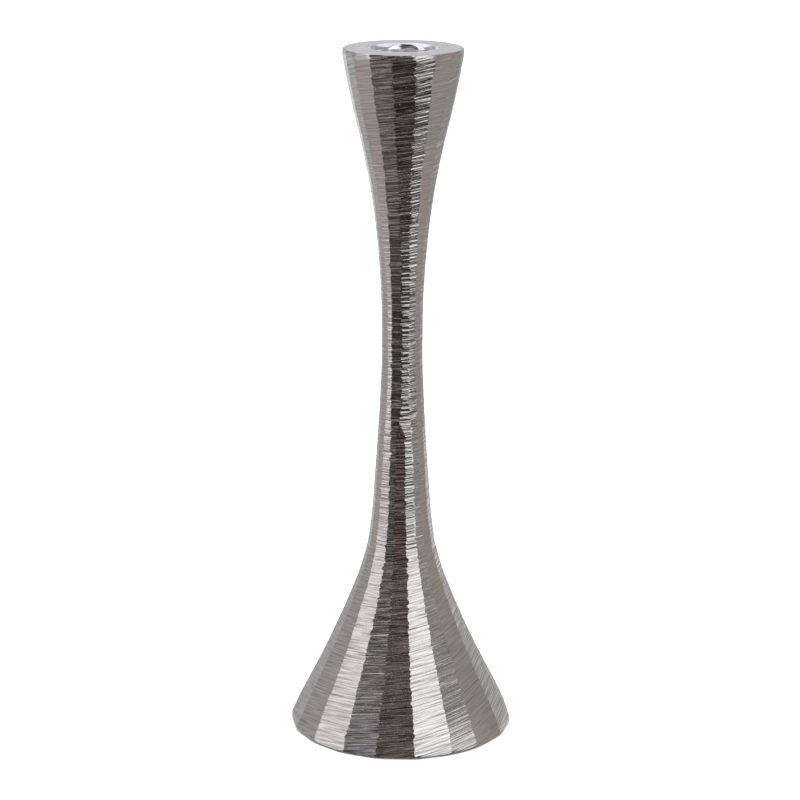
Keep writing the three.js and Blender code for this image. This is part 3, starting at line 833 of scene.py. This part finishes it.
def build_nut():
    """Hexagon nut: chamfered corners, threaded bore."""
    z0, h, af = 4.2, 5.0, 10.0
    seg = 96
    th = np.arange(seg) * 360.0 / seg

    def hexr(cap):
        a = (th % 60) - 30
        return np.minimum(af / 2 / np.cos(np.radians(a)), cap)

    rows, mats = [], []
    for zz, cap in ((z0, 4.75), (z0 + 0.12, 5.05), (z0 + 0.3, 5.4), (z0 + 0.5, 5.62), (z0 + 0.7, 9), (z0 + h / 2, 9),
                    (z0 + h - 0.7, 9), (z0 + h - 0.5, 5.62), (z0 + h - 0.3, 5.4), (z0 + h - 0.12, 5.05), (z0 + h, 4.75)):
        rows.append(polar(hexr(cap), th, np.full(seg, zz)))
    rows.append(polar(np.full(seg, 3.75), th, np.full(seg, z0 + h)))
    for zz in np.arange(z0 + h - 0.35, z0 + 0.3, -0.125):
        frac = (zz - th / 360.0) % 1.0
        rows.append(polar(3.12 + 0.42 * np.clip(np.abs(frac - 0.5) * 2.4 - 0.1, 0, 1), th, np.full(seg, zz)))
    rows.append(polar(np.full(seg, 3.75), th, np.full(seg, z0)))
    n = len(rows)
    ob = loop_grid("tie_rod_nut_hex", np.stack(rows), [MAT["steel"]], None, (0, 10, 11, n - 1))
    me = ob.data
    attr = me.attributes.get("sharp_edge")
    vals = np.zeros(len(me.edges), bool)
    attr.data.foreach_get("value", vals)
    for i, e in enumerate(me.edges):
        a, b = e.vertices
        if a // seg <= 10 and b // seg <= 10 and a % seg == b % seg and (a % seg) % 16 == 0:
            vals[i] = True
    attr.data.foreach_set("value", vals)
    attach(ob, "root"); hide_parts("tie_rod_nut")


def build_washers():
    prof = [(7.75, 11.4), (7.93, 11.45), (8.0, 11.62), (8.0, 12.7), (7.9, 12.86), (7.6, 12.97), (7.1, 13.0),
            (3.9, 13.0), (3.5, 12.94), (3.34, 12.8), (3.3, 12.6), (3.3, 11.5), (3.4, 11.4)]
    ob = turned("flat_washer_pressed", prof, [MAT["steel"]], 120)
    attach(ob, "root"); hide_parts("flat_washer")
    # split washer: a rounded square section swept once round, its ends a little apart in height
    sec = [(-1, -0.8), (-0.8, -1), (0.8, -1), (1, -0.8), (1, 0.8), (0.8, 1), (-0.8, 1), (-1, 0.8)]
    steps = 96
    a0 = math.degrees(math.asin(0.6 / 4.6))
    rows = []
    for i in range(steps + 1):
        q = i / steps
        ang = a0 + (360 - 2 * a0) * q
        zc = 10.3 + 0.07 * (q - 0.5) * 2
        rows.append(np.array([polar(4.6 + 1.3 * sx, 90 + ang, zc + 0.72 * sz) for sx, sz in sec]))
    P = np.stack(rows)
    k = len(sec)
    verts = P.reshape(-1, 3)
    faces = []
    for i in range(steps):
        for j in range(k):
            faces.append((i * k + j, (i + 1) * k + j, (i + 1) * k + (j + 1) % k, i * k + (j + 1) % k))
    faces.append(tuple(range(k)))
    faces.append(tuple(steps * k + j for j in reversed(range(k))))
    me = bpy.data.meshes.new("lock_washer_split")
    me.from_pydata((verts / 1000).tolist(), [], faces)
    me.polygons.foreach_set("use_smooth", np.array([len(p.vertices) == 4 for p in me.polygons], bool))
    me.validate()
    me.materials.append(MAT["steel"])
    ob = bpy.data.objects.new("lock_washer_split", me)
    bpy.context.scene.collection.objects.link(ob)
    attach(ob, "root"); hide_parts("lock_washer")


def build_weight():
    def rough(P):
        ang = np.degrees(np.arctan2(P[..., 0], -P[..., 1]))
        r = np.hypot(P[..., 0], P[..., 1])
        w = 0.10 * vnoise(ang / 4.0 + 90, P[..., 2] / 1.4, 91) + 0.06 * vnoise(ang / 1.6 + 90, P[..., 2] / 0.6, 92)
        keep = (r > 20)[..., None]
        s = np.where(keep, 1 + (w - 0.12)[..., None] / r[..., None], 1.0)
        return np.concatenate([P[..., :2] * s, P[..., 2:]], -1)
    prof = [(31.6, 3.6), (32.1, 3.75), (32.3, 4.2)]
    for q in np.linspace(0.05, 0.95, 20):
        prof.append((32.35 + (27.25 - 32.35) * q, 4.2 + (18.8 - 4.2) * q))
    prof += [(27.2, 18.9), (27.0, 19.4), (26.4, 19.7), (20, 19.7), (12, 19.7), (3.7, 19.7), (3.3, 19.3), (3.3, 13.7),
             (3.6, 13.3), (9.6, 13.3), (10.0, 12.9), (10.0, 4.0), (10.4, 3.6), (18, 3.6), (26, 3.6)]
    ob = turned("ballast_weight_cast", prof, [MAT["iron"]], 160, None, (), rough)
    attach(ob, "root"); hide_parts("ballast_weight")


def plate(name, radius, z0, z1, soft, mat, seg=160, relief=None):
    """A round plate with eased edges, closed at the middle of both faces."""
    th = np.arange(seg) * 360.0 / seg
    rr = [(radius * q, z0) for q in (0.12, 0.25, 0.4, 0.55, 0.7, 0.85, 0.95)]
    rr += [(radius - soft, z0), (radius - 0.3 * soft, z0 + 0.3 * soft), (radius, z0 + soft), (radius, z1 - soft),
           (radius - 0.3 * soft, z1 - 0.3 * soft), (radius - soft, z1)]
    rr += [(radius * q, z1) for q in (0.9, 0.7, 0.5, 0.3, 0.12)]
    P = np.stack([polar(np.full(seg, a), th, np.full(seg, b)) for a, b in rr])
    if relief is not None:
        P = relief(P)
    n = len(rr)
    idx = np.arange(n * seg).reshape(n, seg)
    a, b = idx[:-1], np.roll(idx, -1, 1)[:-1]
    d, c = idx[1:], np.roll(idx, -1, 1)[1:]
    faces = [tuple(q) for q in np.stack([a, b, c, d], -1).reshape(-1, 4).tolist()]
    lo, hi = n * seg, n * seg + 1
    verts = np.concatenate([P.reshape(-1, 3), [[0, 0, P[0, :, 2].mean()], [0, 0, P[-1, :, 2].mean()]]])
    faces += [(lo, int(idx[0][(j + 1) % seg]), int(idx[0][j])) for j in range(seg)]
    faces += [(hi, int(idx[-1][j]), int(idx[-1][(j + 1) % seg])) for j in range(seg)]
    me = bpy.data.meshes.new(name)
    me.from_pydata((verts / 1000).tolist(), [], faces)
    me.polygons.foreach_set("use_smooth", np.ones(len(me.polygons), bool))
    me.validate()
    me.materials.append(mat)
    ob = bpy.data.objects.new(name, me)
    bpy.context.scene.collection.objects.link(ob)
    return ob


def build_underside():
    ob = plate("backing_disc_board", 37.2, 1.9, 2.7, 0.08, MAT["board"])
    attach(ob, "root"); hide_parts("backing_disc")
    ob = plate("rubber_sole_cut", 37.0, 0.0, 1.6, 0.22, MAT["rubber"])
    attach(ob, "root"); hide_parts("rubber_sole")


build_cup()
build_rod()
build_nut()
build_washers()
build_weight()
build_underside()

# ------------------------------------------------------------------ floor
me = bpy.data.meshes.new("floor")
s = 14.0
me.from_pydata([(-s, -s, 0), (s, -s, 0), (s, s, 0), (-s, s, 0)], [], [(0, 1, 2, 3)])
floor = bpy.data.objects.new("floor", me)
bpy.context.scene.collection.objects.link(floor)
fm, n = new_material("pale_floor", (0.86, 0.86, 0.86))
pos, _ = object_mm(n)
soft = n.noise(pos, 0.002, 2.0, 0.5)
finish_material(n, 0.0, n.mix(soft, (0.84, 0.84, 0.84, 1), (0.87, 0.87, 0.87, 1)), 0.9, None)
me.materials.append(fm)
floor.visible_glossy = False

# ------------------------------------------------------------------ studio light
# Overhead light for the floor.
sun_data = bpy.data.lights.new("overhead", "SUN")
sun_data.energy = 3.3
sun_data.angle = math.radians(100)
sun = bpy.data.objects.new("overhead", sun_data)
sun.visible_glossy = False
bpy.context.scene.collection.objects.link(sun)

# The studio round the metal: a dark front, a tall soft box on each side, grey flats and a
# pale back wall, drawn on the world against the compass direction.
world = bpy.data.worlds.new("studio")
bpy.context.scene.world = world
world.use_nodes = True
n = Nodes(world.node_tree)
tc = n.add("ShaderNodeTexCoord")
x, y, z = n.split(tc.outputs["Generated"])
az = n.math("DEGREES", n.math("ARCTAN2", x, n.math("MULTIPLY", y, -1.0)))
el = n.math("DEGREES", n.math("ARCSINE", z))
t = n.math("DIVIDE", n.math("ADD", az, 180.0), 360.0)

ALBEDO = np.array([0.60, 0.575, 0.555])


def radiance(rgb, gain=1.0):
    return tuple(float(v) for v in np.array(srgb(*rgb)) / ALBEDO * gain)


BASE = [(-180, (190, 188, 191)), (-168, (170, 168, 170)), (-152, (140, 136, 136)), (-138, (150, 146, 146)), (-125, (158, 155, 155)),
        (-116, (142, 135, 132)), (-107, (144, 138, 134)), (-95, (138, 130, 127)), (-84, (138, 131, 128)),
        (-66, (128, 121, 119)), (-58, (104, 98, 96)), (-46, (94, 89, 89)), (-34, (70, 66, 65)), (-20, (60, 54, 52)),
        (-5, (66, 58, 55)), (6, (62, 54, 50)), (16, (72, 66, 62)), (38, (60, 57, 55)), (52, (92, 89, 88)),
        (62, (120, 116, 113)), (70, (132, 126, 122)), (104, (133, 126, 120)), (120, (131, 125, 120)),
        (134, (126, 122, 118)), (142, (140, 137, 134)), (156, (140, 137, 136)), (168, (154, 151, 151)), (180, (190, 188, 191))]
E = n.ramp(t, [((a + 180) / 360, radiance(c)) for a, c in BASE])


def edge(value, at, soft, rising):
    return n.span(value, at - soft, at + soft, *((0.0, 1.0) if rising else (1.0, 0.0)))


def panel(under, a0, a1, e0, e1, rgb, soft_a=3.0, soft_e=5.0, gain=1.0):
    """A patch of the studio between two azimuths and two elevations, with soft edges."""
    mask = n.math("MULTIPLY", edge(az, a0, soft_a, True), edge(az, a1, soft_a, False))
    mask = n.math("MULTIPLY", mask, n.math("MULTIPLY", edge(el, e0, soft_e, True), edge(el, e1, soft_e, False)))
    return n.mix(mask, under, (*radiance(rgb, gain), 1.0))


# the shade under the right soft box and the lighter floor below it
E = panel(E, 38, 64, -90, -10, (72, 69, 67), 4, 3)
E = panel(E, 46, 66, -80, -48, (140, 138, 136), 5, 5)
E = panel(E, -60, 16, -90, -44, (72, 66, 63), 5, 8)
E = panel(E, -14, 7, -35, -20, (24, 18, 16), 4, 4)
E = panel(E, -37, -22, -20, -6, (42, 39, 39), 3, 5)
E = panel(E, -60, -27, 5, 62, (60, 56, 55), 5, 6)
E = panel(E, -14, 8, 4, 20, (48, 42, 39), 5, 6)
# left and right soft boxes
E = panel(E, -88, -60, -14, 75, (212, 205, 207), 4, 5)
E = panel(E, -86, -62, 2, 46, (230, 222, 222), 4, 14)
E = panel(E, 12, 22, -50, -18, (42, 37, 34), 3, 4)
E = panel(E, 12, 20, -9, 40, (172, 165, 161), 3, 4)
E = panel(E, 17, 59, -10, 78, (206, 203, 202), 3, 4)
E = panel(E, 20, 57, 8, 46, (246, 242, 238), 4, 14)
E = panel(E, 139, 152, -26, -11, (200, 197, 194), 6, 5)
# pale wall behind on the left, a shaded one behind on the right, and a light overhead
E = panel(E, -172, -156, -28, -8, (192, 190, 192), 3, 5)
E = panel(E, 152, 179, -30, -3, (150, 147, 146), 4, 5)
E = panel(E, 136, 151, -8, 20, (160, 157, 154), 4, 4)
E = panel(E, -179, -93, 34, 90, (216, 216, 222), 5, 8)
E = panel(E, 66, 179, 36, 90, (200, 199, 203), 5, 8)
# the lower corner of the right soft box is cut back, with a gap of light beside it
E = panel(E, 54, 66, -34, -8, (62, 59, 57), 3, 4)
E = panel(E, 40, 56, -48, -29, (14, 13, 12), 3, 4)
E = panel(E, 41, 54, -27, 0, (206, 203, 201), 3, 4)

# unevenness across the height of the room: walls, shelves and the edge of the table
wave1 = n.math("SINE", n.math("ADD", n.math("MULTIPLY", el, 2 * math.pi / 71.0), n.math("MULTIPLY", az, 0.03)))
wave2 = n.math("SINE", n.math("ADD", n.math("MULTIPLY", el, 2 * math.pi / 29.0), n.math("MULTIPLY", az, 0.07)))
bands = n.math("ADD", n.math("MULTIPLY", wave1, 0.45), n.math("MULTIPLY", wave2, 0.55))
amount = n.ramp(t, [((a + 180) / 360, (v, v, v)) for a, v in (
    (-180, 0.06), (-120, 0.08), (-100, 0.06), (-86, 0.12), (-64, 0.20), (-52, 0.90), (-30, 1.20), (14, 1.20),
    (20, 0.22), (34, 0.22), (44, 1.00), (58, 1.30), (66, 0.30), (90, 0.06), (130, 0.06), (142, 0.18), (180, 0.06))])
# inside the soft boxes the light is even
box = n.math("MULTIPLY", n.math("MULTIPLY", edge(az, 17, 3, True), edge(az, 59, 3, False)),
             n.math("MULTIPLY", edge(el, -8, 4, True), edge(el, 78, 4, False)))
amount = n.math("MULTIPLY", amount, n.math("SUBTRACT", 1.0, n.math("MULTIPLY", box, 0.8)))
front = n.math("MULTIPLY", n.math("MULTIPLY", edge(az, -62, 4, True), edge(az, 15, 3, False)), edge(el, 4, 6, True))
amount = n.math("MULTIPLY", amount, n.math("ADD", 1.0, n.math("MULTIPLY", front, 0.9)))
gain = n.math("EXPONENT", n.math("MULTIPLY", bands, n.math("MULTIPLY", amount, 1.3)))
scale = n.add("ShaderNodeVectorMath", operation="SCALE")
n.put(scale.inputs[0], E)
n.put(scale.inputs["Scale"], gain)
bg = n.add("ShaderNodeBackground")
n.put(bg.inputs["Color"], scale.outputs[0])
bg.inputs["Strength"].default_value = 1.0
# beyond the floor there is only a plain pale backdrop
plain = n.add("ShaderNodeBackground")
plain.inputs["Color"].default_value = (1.0, 1.0, 1.0, 1.0)
seen = n.add("ShaderNodeLightPath")
both = n.add("ShaderNodeMixShader")
n.t.links.new(seen.outputs["Is Camera Ray"], both.inputs[0])
n.t.links.new(bg.outputs[0], both.inputs[1])
n.t.links.new(plain.outputs[0], both.inputs[2])
out = n.add("ShaderNodeOutputWorld")
n.t.links.new(both.outputs[0], out.inputs[0])

# two small reflector cards standing by the foot, which only the metal sees
def reflector(name, az_deg, x0, y0, half, z0, z1, rgb):
    a = math.radians(az_deg)
    tx, ty = math.cos(a), math.sin(a)
    me = bpy.data.meshes.new(name)
    me.from_pydata([(x0 - half * tx, y0 - half * ty, z0), (x0 + half * tx, y0 + half * ty, z0),
                    (x0 + half * tx, y0 + half * ty, z1), (x0 - half * tx, y0 - half * ty, z1)], [], [(0, 1, 2, 3)])
    mt, n = new_material(name, (0.9, 0.9, 0.9))
    e = n.add("ShaderNodeEmission")
    e.inputs["Color"].default_value = (*radiance(rgb), 1.0)
    o = n.add("ShaderNodeOutputMaterial")
    n.t.links.new(e.outputs[0], o.inputs[0])
    me.materials.append(mt)
    ob = bpy.data.objects.new(name, me)
    bpy.context.scene.collection.objects.link(ob)
    ob.visible_camera = ob.visible_diffuse = ob.visible_shadow = False
    ob.visible_transmission = ob.visible_volume_scatter = False


reflector("card_right", 70, 0.097, -0.0585, 0.040, 0.004, 0.031, (214, 211, 209))
reflector("card_left", -44, -0.0698, -0.0927, 0.036, 0.004, 0.034, (138, 137, 141))
